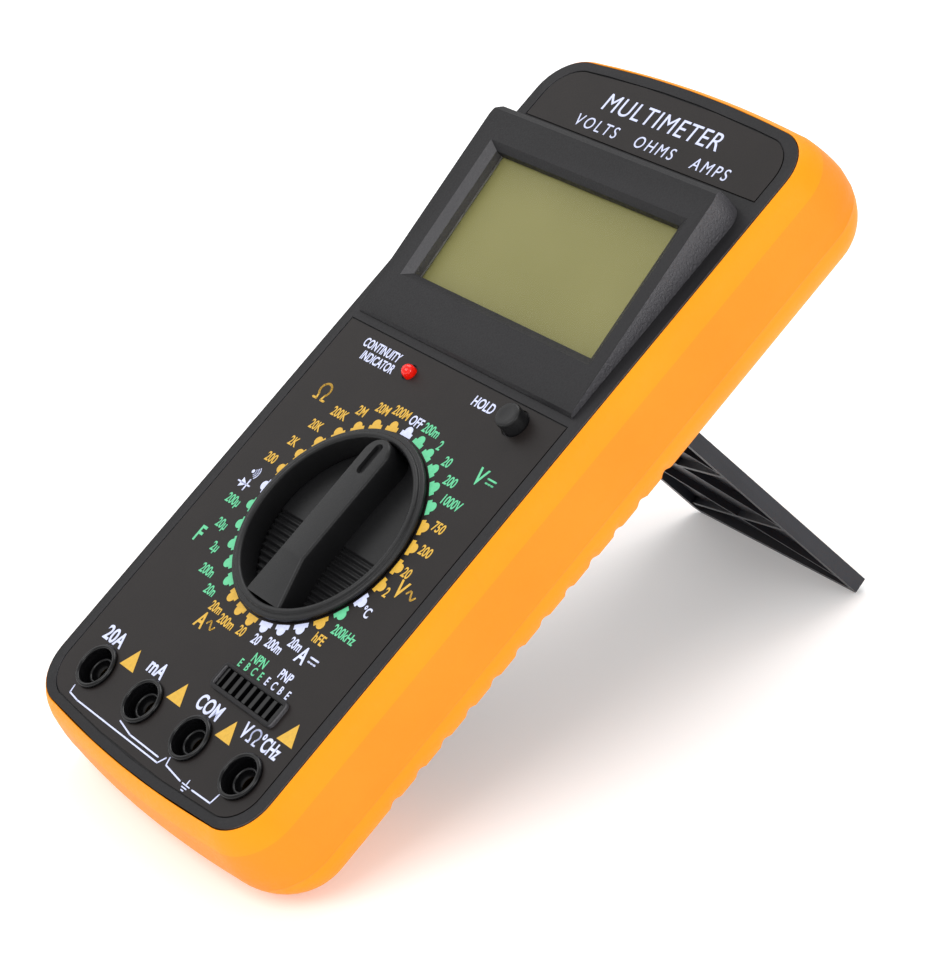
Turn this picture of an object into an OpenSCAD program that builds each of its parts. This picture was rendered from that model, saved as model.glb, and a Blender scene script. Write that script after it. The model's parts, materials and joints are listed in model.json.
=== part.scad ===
// Digital multimeter in a rubber holster, leaning on its open kickstand.
// Every piece is drawn in the meter's own frame and then leaned back by place():
// x runs across the face, y runs up the face, z points out of the face. The origin
// is on the case's middle line, on the front panel, level with the range selector.

/* [Case] */
// Half of the case's width
case_half_w = 41.2; // [40:0.1:43]
// Lower end of the case, from the selector's centre
case_bottom = -61.4; // [-64:0.1:-60]
// Upper end of the case, from the selector's centre
case_top = 116.2; // [112:0.1:120]
// Corner radius of the case
case_corner = 10; // [8:0.1:12]
// How far the two short ends bow outward
end_bow = 1.5; // [0:0.1:3]
// Thickness of the case's walls
case_wall = 2; // [1.6:0.1:2.4]
// Depth of the case behind the front panel
case_depth = 22; // [21.5:0.1:24]
// Height of the display hood above the panel at its upper end
hood_rise = 8; // [6:0.1:9]

/* [Holster] */
// Thickness of the holster beside the case
holster_wall = 4.4; // [4:0.1:6]
// Thickness of the holster beyond the case's ends
holster_end = 4.3; // [4:0.1:6]
// Thickness of the holster behind the case
holster_back = 4.4; // [4.2:0.1:6]

/* [Selector] */
// How far the selector, sockets and stand sit to the right of the middle line
dial_x = 1.45; // [0:0.05:2]
// Radius of the selector's rim
dial_r = 23.2; // [22:0.1:24]
// Number of positions of the selector
dial_positions = 32; // [16:1:36]
// Height of the grip bar above the panel
grip_rise = 3.2; // [2:0.1:5]

/* [Sockets] */
// Distance between neighbouring banana sockets
jack_pitch = 19; // [19:0.05:19.05]
// Bore of a banana socket
jack_bore = 4; // [4:0.05:4.1]
// Distance of the socket row below the selector's centre
jack_row = 50.6; // [49:0.1:52]

/* [Stand] */
// Angle between the meter's face and the table
lean = 31.5; // [29:0.5:34]
// Angle that the stand swings through, from folded to open
stand_swing = 97; // [92:1:100]
// Width of the stand
stand_w = 56.6; // [50:0.1:58]

/* [Hidden] */
$fn = 48;
eps = 0.05;

// Heights of the layers inside the case, measured from the panel
label_t = 0.35;
panel_t = 2.2;
parting_z = -11.4;
case_back_z = -case_depth;
well_floor_z = -5.1;
well_floor_t = 1.5;
rotor_top_z = -6.8;
rotor_t = 2.8;
board_top_z = -10.4;
board_t = 1.6;

// Display hood: a wedge, low beside the selector and high at the far end
hood_half_w = 37.6;
hood_y0 = 43;
hood_y1 = 97.6;
hood_corner = 5;
hood_wall = 3.2;
hood_lip = 1;
hood_edge = 0.6;
hood_crest = 3;
hood_slope = (hood_rise - hood_lip) / (hood_y1 - hood_crest - hood_y0 - hood_edge);
window_x = 1.1;
window_half_w = 33.1;
window_y0 = 53.5;
window_y1 = 87.9;
view_half_w = 30.9;
view_y0 = 55.3;
view_y1 = 86.5;
window_drop = 1.3;
lens_t = 0.7;
glass_t = 2;
strip_t = 1.2;
display_board_t = 1;

// Printed labels, sunk flush into the panel
label_half_w = 38;
label_y0 = -59.3;
label_y1 = 40.8;
label_corner = 8;
label_bow = 1.3;
title_y0 = 99.7;
title_y1 = 113.8;

// Places on the panel
led_at = [-10.8, 36];
hold_at = [25.5, 36.8];
hfe_at = [16.5, -37];
hfe_size = [23, 6.2];
jack_first_x = dial_x - 1.5 * jack_pitch;
jack_collar_r = 5.15;
boss_top_z = -1.3;
boss_hole_r = jack_bore / 2 + 0.35;
sleeve_r = 2.6;
sleeve_top_z = -3.4;
dial_hole_r = 22;
hub_r = 4.5;
fit = 0.05;

// Fasteners
case_screw_at = [[-35.4, -35], [35.4, -35], [-35.4, 104], [35.4, 104]];
board_screw_at = [[-32, -25], [32, -25], [-32, 27], [32, 25]];
post_joint_z = -14;

// Battery bay behind the display
battery_size = [48.5, 26.5, 16];
battery_y0 = 72;
door_half_w = 27;
door_y0 = 69;
door_y1 = 101;

// Holster section: [height, thickness beside the case, thickness beyond its ends],
// from the lip that meets the case, past the ridge on the sides, to the back
holster_back_z = -case_depth - holster_back;
ridge_z = -16.5;
side_round = [9.5, ridge_z - holster_back_z];
end_round_z = -13;
end_round = [12, end_round_z - holster_back_z];
least_corner = 3;
holster_section = concat(
    [[-0.25, 0.3, 0.3], [-0.8, 0.75, 0.75], [-1.9, 1.5, 1.5], [-3.4, 2.25, 2.2], [-5.5, 2.95, 2.8],
        [-8, 3.5, 3.35], [-11, 4.05, 4], [end_round_z, holster_wall - 0.1, holster_end]],
    [for (t = [0 : 15 : 90]) let (z = ridge_z - side_round[1] * sin(t))
        [z, holster_wall - side_round[0] * (1 - cos(t)), end_wall(z)]]
);
function end_wall(z) =
    holster_end - end_round[0] * (1 - sqrt(max(0, 1 - pow((z - end_round_z) / end_round[1], 2))));

// Stand: hinge line, section and the length that stands it on the table
hinge_y = 60;
hinge_z = case_back_z - 2.2;
stand_skin_z = -2.1;
stand_inner_z = 1.4;
skin_t = 1.4;
pin_r = 1.6;
lug_t = 3.2;
low_holster = min([for (s = holster_section)
    (case_bottom - end_bow - s[2]) * sin(lean) + s[0] * cos(lean)]);
hinge_height = hinge_y * sin(lean) + hinge_z * cos(lean);
foot_angle = lean + stand_swing;
stand_len = (hinge_height + stand_inner_z * cos(foot_angle) - low_holster) / sin(foot_angle);

// Where the leaned meter goes so that it stands on z = 0, centred on the origin
near_y = min([for (s = holster_section)
    (case_bottom - end_bow - s[2]) * cos(lean) - s[0] * sin(lean)]);
far_y = hinge_y * cos(lean) - hinge_z * sin(lean)
    - stand_len * cos(foot_angle) - stand_skin_z * sin(foot_angle);
shift = [0, -(near_y + far_y) / 2, -low_holster];

module place() {
    translate(shift) rotate([lean, 0, 0]) children();
}

// The same, for pieces drawn about the selector's axis
module place_dial() {
    place() translate([dial_x, 0, 0]) children();
}

// Height of the hood's sloping face at a given y
function hood_z(y) = hood_lip + (y - hood_y0 - hood_edge) * hood_slope;

// Closed outline of a long plate with round corners and bowed short ends
function plate_outline(half_w, y0, y1, r, bow) = concat(
    [for (a = [0 : 10 : 90]) [half_w - r + r * cos(a), y1 - r + r * sin(a)]],
    [for (k = [1 : 9]) let (x = (half_w - r) * (1 - k / 5)) [x, y1 + bow_rise(x, half_w - r, bow)]],
    [for (a = [90 : 10 : 180]) [-half_w + r + r * cos(a), y1 - r + r * sin(a)]],
    [for (a = [180 : 10 : 270]) [-half_w + r + r * cos(a), y0 + r + r * sin(a)]],
    [for (k = [1 : 9]) let (x = (half_w - r) * (k / 5 - 1)) [x, y0 - bow_rise(x, half_w - r, bow)]],
    [for (a = [270 : 10 : 360]) [half_w - r + r * cos(a), y0 + r + r * sin(a)]]
);
function bow_rise(x, half, bow) = bow * (1 - x * x / (half * half));
function case_outline(inset) = plate_outline(case_half_w - inset, case_bottom + inset,
    case_top - inset, case_corner - inset, end_bow);
function holster_outline(side, end) = plate_outline(case_half_w + side, case_bottom - end,
    case_top + end, max(case_corner + min(side, end), least_corner), end_bow);

// Prism between two heights
module slab(z0, z1, points) {
    translate([0, 0, z0]) linear_extrude(z1 - z0) polygon(points);
}

// Disc between two heights
module disc(z0, z1, r, x = 0, y = 0) {
    translate([x, y, z0]) cylinder(h = z1 - z0, r = r);
}

// Block given by its lowest and highest corners
module block(a, b) {
    translate(a) cube(b - a);
}

// Solid lofted through outlines with the same number of points
module loft(rings) {
    n = len(rings[0]);
    m = len(rings);
    points = [for (ring = rings) each ring];
    sides = [for (j = [0 : m - 2]) for (i = [0 : n - 1])
        [j * n + i, (j + 1) * n + i, (j + 1) * n + (i + 1) % n, j * n + (i + 1) % n]];
    first = [[for (i = [0 : n - 1]) i]];
    last = [[for (i = [0 : n - 1]) m * n - 1 - i]];
    polyhedron(points = points, faces = concat(first, sides, last));
}

// Shell lofted through outlines that run right round its wall, back to the first one
module loft_shell(rings) {
    n = len(rings[0]);
    m = len(rings);
    polyhedron(points = [for (ring = rings) each ring], faces = [
        for (j = [0 : m - 1]) for (i = [0 : n - 1])
            [j * n + i, (j + 1) % m * n + i, (j + 1) % m * n + (i + 1) % n, j * n + (i + 1) % n]
    ]);
}

// ---- Holster -------------------------------------------------------------

stand_window = plate_outline(34.5, -27, 68, least_corner, 0);
pocket = case_outline(-0.15);
pocket_floor_z = case_back_z - 0.1;

function at_height(outline, z) = [for (p = outline) [p[0], p[1], z]];

module holster() {
    color("orange") place() loft_shell(concat(
        [for (s = holster_section) at_height(holster_outline(s[1], s[2]), s[0])],
        [at_height(stand_window, holster_back_z), at_height(stand_window, pocket_floor_z)],
        [at_height(pocket, pocket_floor_z), at_height(pocket, holster_section[0][0])]
    ));
}

// ---- Case ----------------------------------------------------------------

module hood_plan() {
    r = hood_corner;
    translate([-hood_half_w, hood_y0]) square([2 * hood_half_w, hood_y1 - hood_y0 - r]);
    translate([-hood_half_w + r, hood_y0]) square([2 * (hood_half_w - r), hood_y1 - hood_y0]);
    for (side = [-1, 1])
        translate([side * (hood_half_w - r), hood_y1 - r]) circle(r);
}

module across(half_w, points) {
    rotate([90, 0, 90]) translate([0, 0, -half_w]) linear_extrude(2 * half_w) polygon(points);
}

module hood_solid() {
    intersection() {
        across(hood_half_w, [[hood_y0, -1], [hood_y0, 0.3], [hood_y0 + hood_edge, hood_lip],
            [hood_y1 - hood_crest, hood_rise], [hood_y1 - 1.6, hood_rise - 0.9], [hood_y1, -1]]);
        translate([0, 0, -1]) linear_extrude(hood_rise + 2) hood_plan();
    }
}

module hood_hollow() {
    y0 = 47;
    y1 = hood_y1 - 4.6;
    across(hood_half_w - 2.2, [[y0, -panel_t - 1], [y0, hood_z(y0) - hood_wall],
        [y1, hood_z(y1) - hood_wall], [y1 + 1.5, -panel_t - 1]]);
}

// Bevelled window of the hood, wide at the face and narrow at the lens
module window_cut() {
    translate([window_x, 0, 0]) {
        hull() {
            for (y = [window_y0, window_y1])
                block([-window_half_w, y - 0.01, hood_z(y) - 0.01], [window_half_w, y, hood_z(y) + 0.3]);
            for (y = [view_y0, view_y1])
                block([-view_half_w, y - 0.01, hood_z(y) - window_drop], [view_half_w, y, hood_z(y)]);
        }
        across(view_half_w, [[view_y0, hood_z(view_y0) - 5], [view_y0, hood_z(view_y0)],
            [view_y1, hood_z(view_y1)], [view_y1, hood_z(view_y1) - 5]]);
    }
}

// Hollow post that takes a self-tapping screw
module post(at, z0, z1, r, bore) {
    difference() {
        disc(z0, z1, r, at[0], at[1]);
        disc(z0 - 1, z1 - 1.5, bore, at[0], at[1]);
    }
}

function jack_x(i) = jack_first_x + i * jack_pitch;

module label_sheet(extra) {
    polygon(plate_outline(label_half_w + extra, label_y0 - extra, title_y1 + extra,
        label_corner + extra, label_bow));
}

module main_label_plan(extra) {
    intersection() {
        label_sheet(extra);
        translate([-60, label_y1 + extra - 120]) square(120);
    }
}

module title_label_plan(extra) {
    intersection() {
        label_sheet(extra);
        translate([-60, title_y0 - extra]) square(120);
    }
}

module panel_holes(z0, z1, grow) {
    disc(z0, z1, dial_hole_r + grow, dial_x);
    disc(z0, z1, 1.6 + grow, led_at[0], led_at[1]);
    disc(z0, z1, 2.9 + fit + grow, hold_at[0], hold_at[1]);
    for (i = [0 : 3])
        disc(z0, z1, jack_collar_r - 0.35 + grow, jack_x(i), -jack_row);
    block([hfe_at[0] - hfe_size[0] / 2 + 0.8 - grow, hfe_at[1] - hfe_size[1] / 2 + 0.8 - grow, z0],
        [hfe_at[0] + hfe_size[0] / 2 - 0.8 + grow, hfe_at[1] + hfe_size[1] / 2 - 0.8 + grow, z1]);
}

// The round well that the selector turns in, with the bearing in its floor
module selector_well() {
    translate([dial_x, 0, 0]) difference() {
        disc(well_floor_z - well_floor_t, -panel_t + 0.1, dial_hole_r + 1.6);
        disc(well_floor_z, 1, dial_hole_r);
        disc(well_floor_z - 5, 0, hub_r + fit);
    }
}

module front_case() {
    color("dimgray") place() {
        difference() {
            union() {
                slab(parting_z, 0, case_outline(0));
                hood_solid();
            }
            slab(parting_z - 1, -panel_t, case_outline(case_wall));
            hood_hollow();
            window_cut();
            panel_holes(-9, 3, 0);
            translate([0, 0, -label_t]) linear_extrude(1) main_label_plan(0.3);
            translate([0, 0, -label_t]) linear_extrude(1) title_label_plan(0.3);
        }
        selector_well();
        for (at = case_screw_at)
            post(at, post_joint_z, -panel_t + 0.1, 2.9, 1.2);
        for (at = board_screw_at)
            post(at, board_top_z + eps, -panel_t + 0.1, 2.5, 1);
    }
}

module rear_case() {
    color("dimgray") place() {
        difference() {
            union() {
                difference() {
                    slab(case_back_z, parting_z - eps, case_outline(0));
                    slab(case_back_z + case_wall, parting_z + 1, case_outline(case_wall));
                }
                for (at = case_screw_at)
                    disc(case_back_z + 1, post_joint_z - eps, 3.2, at[0], at[1]);
            }
            for (at = case_screw_at) {
                disc(case_back_z - 1, parting_z, 1.65, at[0], at[1]);
                disc(case_back_z - 1, case_back_z + 3, 2.6, at[0], at[1]);
            }
            block([-door_half_w, door_y0, case_back_z - 1], [door_half_w, door_y1, case_back_z + 3]);
            door_tab(0.2, 0);
        }
        battery_box();
        translate([dial_x, 0, 0]) {
            for (side = [-1, 1])
                stand_lug(side);
            stand_stop();
        }
    }
}

// Open-backed box that holds the battery, with a ledge for the door's screw
module battery_box() {
    difference() {
        block([-door_half_w - 1.5, door_y0 - 1.5, case_back_z + 1],
            [door_half_w + 1.5, door_y1 + 6.5, -14]);
        block([-door_half_w, door_y0, case_back_z], [door_half_w, door_y1, -13]);
        door_tab(0.2, 0.1);
        disc(case_back_z, -15, 1.05, 0, door_y1 + 2.4);
    }
}

// Tab of the battery door that its screw passes through
module door_tab(grow, deeper) {
    block([-5 - grow, door_y1 - 1, case_back_z - 1],
        [5 + grow, door_y1 + 5 + grow, case_back_z + 2 + deeper]);
}

module stand_lug(side) {
    near_x = stand_w / 2 + 0.3;
    translate([side * (near_x + lug_t / 2), hinge_y, hinge_z]) difference() {
        union() {
            rotate([0, 90, 0]) cylinder(h = lug_t, r = 2.1, center = true);
            block([-lug_t / 2, -2.1, 0], [lug_t / 2, 2.1, case_back_z + 0.5 - hinge_z]);
        }
        rotate([0, 90, 0]) cylinder(h = 2 * lug_t, r = pin_r + fit, center = true);
    }
}

// Ledge that the open stand leans against
module stand_stop() {
    over = stand_swing - 90;
    reach = -stand_skin_z + 0.04;
    foot = hinge_y + reach * cos(over);
    drop = hinge_z + reach * sin(over);
    across(stand_w / 2 - 4, [[foot + (drop - case_back_z - 0.5) * tan(over), case_back_z + 0.5],
        [foot + 1.9 * tan(over), drop - 1.9], [66.5, hinge_z - 1.5], [66.5, case_back_z + 0.5]]);
}

module panel_label() {
    color([0.16, 0.14, 0.13]) place() difference() {
        translate([0, 0, -label_t]) linear_extrude(label_t) main_label_plan(0);
        panel_holes(-1, 1, 0.3);
    }
}

module title_label() {
    color([0.16, 0.14, 0.13]) place()
        translate([0, 0, -label_t]) linear_extrude(label_t) title_label_plan(0);
}

// ---- Display -------------------------------------------------------------

// Flat plate parallel to the hood's face, from a depth below the face
module display_plate(half_w, y0, y1, depth, t) {
    translate([window_x, 0, 0]) across(half_w, [[y0, hood_z(y0) - depth - t], [y0, hood_z(y0) - depth],
        [y1, hood_z(y1) - depth], [y1, hood_z(y1) - depth - t]]);
}

lens_depth = hood_wall + eps;
glass_depth = lens_depth + lens_t + eps;
strip_depth = glass_depth + glass_t + eps;
display_board_depth = strip_depth + strip_t + eps;

module display_lens() {
    color([0.8, 0.85, 0.85, 0.4]) place()
        display_plate(33, 51, 90.4, lens_depth, lens_t);
}

module display_glass() {
    color([0.6, 0.6, 0.45]) place()
        display_plate(31.3, 52, 89.4, glass_depth, glass_t);
}

module display_frame() {
    color("gainsboro") place() difference() {
        display_plate(33.9, 50.4, 91, glass_depth, 3);
        display_plate(31.6, 51.6, 89.8, glass_depth - 1, 6);
    }
}

module contact_strips() {
    color("pink") place() for (y = [53, 86.4])
        display_plate(31, y, y + 2.2, strip_depth, strip_t);
}

module display_board() {
    color("seagreen") place()
        display_plate(33.9, 49.6, 91.6, display_board_depth, display_board_t);
}

// ---- Board and its components ---------------------------------------------

module main_board() {
    color("seagreen") place() difference() {
        block([-38, -59, board_top_z - board_t], [38, 64, board_top_z]);
        for (at = case_screw_at)
            disc(-20, 0, 3.6, at[0], at[1]);
        for (at = board_screw_at)
            disc(-20, 0, 1.3, at[0], at[1]);
        for (i = [0 : 3])
            disc(-20, 0, sleeve_r + 0.1, jack_x(i), -jack_row);
        for (x = [-38, 38])
            translate([x, -59, 0]) rotate(45) cube([10, 10, 60], center = true);
    }
}

board_back_z = board_top_z - board_t - eps;

module converter_chip() {
    color("black") place() block([-14, 30, board_back_z - 3], [14, 44, board_back_z]);
}

module transistor_socket() {
    color("black") place() difference() {
        union() {
            hfe_rim(0.9, eps, 0);
            block([hfe_at[0] - 10.5, hfe_at[1] - 2.2, -9], [hfe_at[0] + 10.5, hfe_at[1] + 2.2, 0.5]);
        }
        translate([0, 0, 0.55]) hfe_rim(1, 0, 0.9);
        for (k = [0 : 7])
            block([hfe_slot_x(k) - 0.55, hfe_at[1] - 1.5, -6], [hfe_slot_x(k) + 0.55, hfe_at[1] + 1.5, 3]);
    }
}

module hfe_rim(z1, z0, inset) {
    a = hfe_size / 2 - [inset, inset];
    block([hfe_at[0] - a[0], hfe_at[1] - a[1] + 0.9, z0], [hfe_at[0] + a[0], hfe_at[1] + a[1] - 0.9, z1]);
    block([hfe_at[0] - a[0] + 0.9, hfe_at[1] - a[1], z0], [hfe_at[0] + a[0] - 0.9, hfe_at[1] + a[1], z1]);
    for (sx = [-1, 1])
        for (sy = [-1, 1])
            disc(z0, z1, 0.9, hfe_at[0] + sx * (a[0] - 0.9), hfe_at[1] + sy * (a[1] - 0.9));
}

function hfe_slot_x(k) = hfe_at[0] + (k - 3.5) * 2.5;

module socket_contacts() {
    color("gold") place() for (k = [0 : 7])
        block([hfe_slot_x(k) - 0.25, hfe_at[1] - 0.8, board_top_z + eps],
            [hfe_slot_x(k) + 0.25, hfe_at[1] + 0.8, -9 - eps]);
}

module continuity_led() {
    color("red") place() translate([led_at[0], led_at[1], 0]) {
        translate([0, 0, 0.6]) sphere(r = 1.5);
        translate([0, 0, -6]) cylinder(h = 6.6, r = 1.5);
        translate([0, 0, -6]) cylinder(h = 1, r = 1.9);
        for (x = [-0.9, 0.9])
            translate([x, 0, board_top_z + eps]) cylinder(h = 5, r = 0.25);
    }
}

// Insulating sleeve: a deep ring around a central boss
module jack_shrouds() {
    color("black") place() for (i = [0 : 3])
        translate([jack_x(i), -jack_row, 0]) rotate_extrude() polygon([
            [sleeve_r + eps, -9.5], [4.75, -9.5], [4.75, eps], [jack_collar_r, eps], [jack_collar_r, 0.5],
            [jack_collar_r - 0.4, 0.9], [4.4, 0.9], [4.15, 0.6], [4.15, -7.6], [3.2, -7.6],
            [3.2, boss_top_z - 0.3], [2.9, boss_top_z], [boss_hole_r + 0.2, boss_top_z],
            [boss_hole_r, boss_top_z - 0.2], [boss_hole_r, sleeve_top_z + eps],
            [sleeve_r + eps, sleeve_top_z + eps]
        ]);
}

module jack_sleeve(i) {
    color("gold") place() translate([jack_x(i), -jack_row, 0]) rotate_extrude() polygon([
        [jack_bore / 2, -15.5], [sleeve_r, -15.5], [sleeve_r, sleeve_top_z], [jack_bore / 2, sleeve_top_z]
    ]);
}

module jack_sleeve_20a() { jack_sleeve(0); }
module jack_sleeve_ma() { jack_sleeve(1); }
module jack_sleeve_com() { jack_sleeve(2); }
module jack_sleeve_v() { jack_sleeve(3); }

// Heavy wire loop behind the board that carries the largest current
module current_shunt() {
    bend = 6;
    leg = 0.6;
    color("peru") place() translate([-22, -34, board_back_z - leg]) {
        for (side = [-1, 1])
            translate([side * bend, 0, 0]) cylinder(h = leg, r = 0.8);
        rotate([90, 0, 0]) rotate_extrude(angle = -180) translate([bend, 0]) circle(0.8);
    }
}

module fuse() {
    color([0.8, 0.85, 0.85]) place() translate([-30, -14, board_back_z - 4]) rotate([0, 90, 0]) {
        cylinder(h = 20, r = 2.3);
        for (z = [-0.2, 14.6])
            translate([0, 0, z]) cylinder(h = 5.6, r = 2.6);
    }
}

module fuse_clips() {
    color("silver") place() for (x = [-29, -13.6])
        difference() {
            block([x, -17.4, board_back_z - 6.2], [x + 3, -10.6, board_back_z]);
            translate([x - 1, -14, board_back_z - 4]) rotate([0, 90, 0]) cylinder(h = 5, r = 2.7);
            block([x - 1, -15.6, board_back_z - 9], [x + 4, -12.4, board_back_z - 4]);
        }
}

module buzzer() {
    color("black") place() translate([24, 4, board_back_z - 5]) difference() {
        cylinder(h = 5, r = 8);
        translate([0, 0, -1]) cylinder(h = 2, r = 1);
    }
}

module thermistor() {
    color("darkorange") place() translate([27, -18, board_back_z - 3.5]) rotate([90, 0, 0])
        cylinder(h = 2.4, r = 3.4);
}

module trimmers() {
    color("royalblue") place() for (x = [0, 8, 16])
        difference() {
            translate([x, 20, board_back_z - 4]) cylinder(h = 4, r = 3);
            block([x - 2, 19.6, board_back_z - 5], [x + 2, 20.4, board_back_z - 3.4]);
        }
}

module resistors() {
    color("burlywood") place() for (row = [0 : 4])
        for (column = [0 : 2])
            translate([-30 + column * 9, -6 + row * 4, board_back_z - 1.4]) rotate([0, 90, 0])
                cylinder(h = 6, r = 1.1);
}

module capacitors() {
    color("firebrick") place() for (k = [0 : 3])
        block([-34 + k * 7.5, 50, board_back_z - 5.5], [-28.5 + k * 7.5, 56, board_back_z]);
}

// ---- Hold button -----------------------------------------------------------

module hold_switch() {
    color("gray") place() difference() {
        block([hold_at[0] - 3.6, hold_at[1] - 3.6, board_top_z + eps],
            [hold_at[0] + 3.6, hold_at[1] + 3.6, -7]);
        disc(-9.8, -6, 1.55, hold_at[0], hold_at[1]);
    }
}

module hold_button() {
    color("black") place() translate([hold_at[0], hold_at[1], 0]) rotate_extrude() polygon([
        [0, -7.6], [1.5, -7.6], [1.5, -3.6], [3.8, -3.6], [3.8, -2.25], [2.9, -2.25],
        [2.9, 3.2], [2.6, 3.5], [0, 3.5]
    ]);
}

// ---- Range selector ----------------------------------------------------------

dish_r = 20.6;
dish_floor_z = -3.5;

module selector_knob() {
    color([0.2, 0.2, 0.21]) place_dial() {
        difference() {
            rotate_extrude($fn = 96) polygon([
                [0, -4.8], [21.3, -4.8], [21.5, -4.6], [21.5, 0.3], [dial_r, 0.3], [dial_r, 0.9],
                [dial_r - 0.5, 1.3], [22.2, 1.3], [21.9, 1.9], [dish_r + 0.4, 1.9], [dish_r, 1.5],
                [dish_r, dish_floor_z], [0, dish_floor_z]
            ]);
            for (k = [0 : 11])
                for (side = [-1, 1])
                    rib_groove(side, -1.6 - k * 1.45);
        }
        grip_bar();
        disc(-8.9, -4.7, hub_r);
        disc(board_top_z + 0.1, -8, 2.2);
    }
}

// Groove between two of the finger ribs on the dish floor
module rib_groove(side, y) {
    reach = sqrt(19.8 * 19.8 - y * y);
    start = y > -9 ? 4.4 : 4.4 + (-9 - y) * 0.24;
    if (reach > start + 1)
        block([side > 0 ? start : -reach, y - 0.35, dish_floor_z - 0.5],
            [side > 0 ? reach : -start, y + 0.35, dish_floor_z + 1]);
}

// Grip bar: round pointer end, straight middle, tail that widens and slopes to the rim
module grip_bar() {
    tail_y = -sqrt(pow(dish_r + 0.2, 2) - 36);
    difference() {
        translate([0, 0, dish_floor_z - 0.5]) linear_extrude(grip_rise - dish_floor_z + 0.5) {
            translate([0, 16.4]) circle(3.9);
            polygon([[-3.9, 16.4], [-3.9, -9], [-6, tail_y], [6, tail_y], [3.9, -9], [3.9, 16.4]]);
        }
        across(8, [[-9, grip_rise], [-9, grip_rise + 1], [-25, grip_rise + 1], [-25, 1.3], [tail_y, 1.6]]);
        translate([0, 0, grip_rise - 0.8]) linear_extrude(2) {
            for (y = [12.6, 17.8])
                translate([0, y]) circle(1.1);
            translate([-1.1, 12.6]) square([2.2, 5.2]);
        }
    }
}

module switch_rotor() {
    color("ivory") place_dial() difference() {
        disc(rotor_top_z - rotor_t, rotor_top_z, 17.4);
        disc(-20, -8.8, 2.25);
        disc(-8.95, 0, hub_r + 0.02);
        for (side = [-1, 1])
            rotate(side * 90) detent_socket();
    }
}

// Radial hole in the rotor for a spring and a ball
module detent_socket() {
    translate([11, 0, rotor_top_z - rotor_t / 2]) rotate([0, 90, 0]) cylinder(h = 10, r = 1.05);
}

module wiper_contacts() {
    color("gold") place_dial() for (k = [0 : 5])
        rotate(k * 60 + 30)
            for (r = [7, 10.5, 14])
                block([r, -1, board_top_z + 0.15], [r + 1.2, 1, rotor_top_z - rotor_t - eps]);
}

module rotor_clip() {
    color("silver") place_dial() difference() {
        disc(-10.3, rotor_top_z - rotor_t - eps, 4);
        disc(-11, 0, 2.25);
    }
}

module detent_ring() {
    color("white") place_dial() difference() {
        disc(rotor_top_z - rotor_t, rotor_top_z + 0.1, 22.5);
        disc(-20, 0, 19.2);
        for (k = [0 : dial_positions - 1])
            rotate(k * 360 / dial_positions) disc(-20, 0, 1, 18.9, 0);
    }
}

module detent_balls() {
    color("silver") place_dial() for (side = [-1, 1])
        rotate(side * 90) translate([18, 0, rotor_top_z - rotor_t / 2]) sphere(r = 0.95);
}

module detent_springs() {
    color("silver") place_dial() for (side = [-1, 1])
        rotate(side * 90) translate([11.1, 0, rotor_top_z - rotor_t / 2]) rotate([0, 90, 0])
            difference() {
                cylinder(h = 5.9, r = 0.9);
                translate([0, 0, -1]) cylinder(h = 8, r = 0.6);
            }
}

// ---- Battery -----------------------------------------------------------------

battery_x0 = -battery_size[0] / 2 + 2.5;
battery_z0 = case_back_z + 2.3;

module battery() {
    color("slategray") place() block([battery_x0, battery_y0, battery_z0],
        [battery_x0 + battery_size[0] - 3, battery_y0 + battery_size[1], battery_z0 + battery_size[2]]);
}

module battery_snap() {
    color("black") place() difference() {
        block([battery_x0 - 3.6, battery_y0 + 1, battery_z0 + 1],
            [battery_x0 - eps, battery_y0 + 25.5, battery_z0 + 15]);
        for (y = [7, 19.7])
            translate([battery_x0 - 2.2, battery_y0 + y, battery_z0 + 8])
                rotate([0, 90, 0]) cylinder(h = 3, r = 3);
    }
}

// Route of a lead, as points joined by a thin round tube
function lead_route(gap) = [
    [-23 - gap, 72.9, -8], [-23 - gap, 70, -8], [-23.6 - gap, 67, -8.1], [-24.8 - gap, 64, -8.5],
    [-25.8 - gap, 61, -9], [-26.4 - gap, 58, -9.5], [-26.5 - gap, 55, -9.7]
];

function unit(v) = v / norm(v);

function lead_ring(route, k, r) =
    let (a = route[max(k - 1, 0)], b = route[min(k + 1, len(route) - 1)],
        d = unit(b - a), u = unit(cross(d, [0, 0, 1])), v = cross(d, u))
    [for (t = [0 : 45 : 315]) route[k] + r * (u * cos(t) + v * sin(t))];

module battery_leads() {
    color("crimson") place() for (gap = [0, 1.6])
        loft([for (k = [0 : 6]) lead_ring(lead_route(gap), k, 0.6)]);
}

module battery_door() {
    color("dimgray") place() difference() {
        union() {
            block([-door_half_w + 0.2, door_y0 + 0.2, case_back_z],
                [door_half_w - 0.2, door_y1 - 0.2, case_back_z + 2]);
            intersection() {
                door_tab(0, 0);
                slab(case_back_z, 0, case_outline(0));
            }
        }
        disc(case_back_z - 1, case_back_z + 3, 1.3, 0, door_y1 + 2.4);
        disc(case_back_z - 1, case_back_z + 1, 2.4, 0, door_y1 + 2.4);
    }
}

// ---- Fasteners -----------------------------------------------------------------

// Pan-head screw that points toward the panel
module screw(at, head_z, length, r, head_r, head_t) {
    translate([at[0], at[1], head_z]) difference() {
        union() {
            cylinder(h = head_t, r = head_r);
            cylinder(h = length, r = r);
        }
        for (a = [0, 90])
            rotate(a) cube([head_r * 1.2, 0.5, 1], center = true);
    }
}

module door_screw() {
    color("silver") place() screw([0, door_y1 + 2.4], case_back_z + 0.1, 6, 1, 2.1, 0.85);
}

module case_screws() {
    color("silver") place() for (at = case_screw_at)
        screw(at, case_back_z + 1.3, 16, 1.15, 2.4, 1.65);
}

module board_screws() {
    color("silver") place() for (at = board_screw_at)
        screw(at, board_back_z - 1.4, 5.5, 0.95, 2, 1.4);
}

// ---- Kickstand -------------------------------------------------------------------

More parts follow.
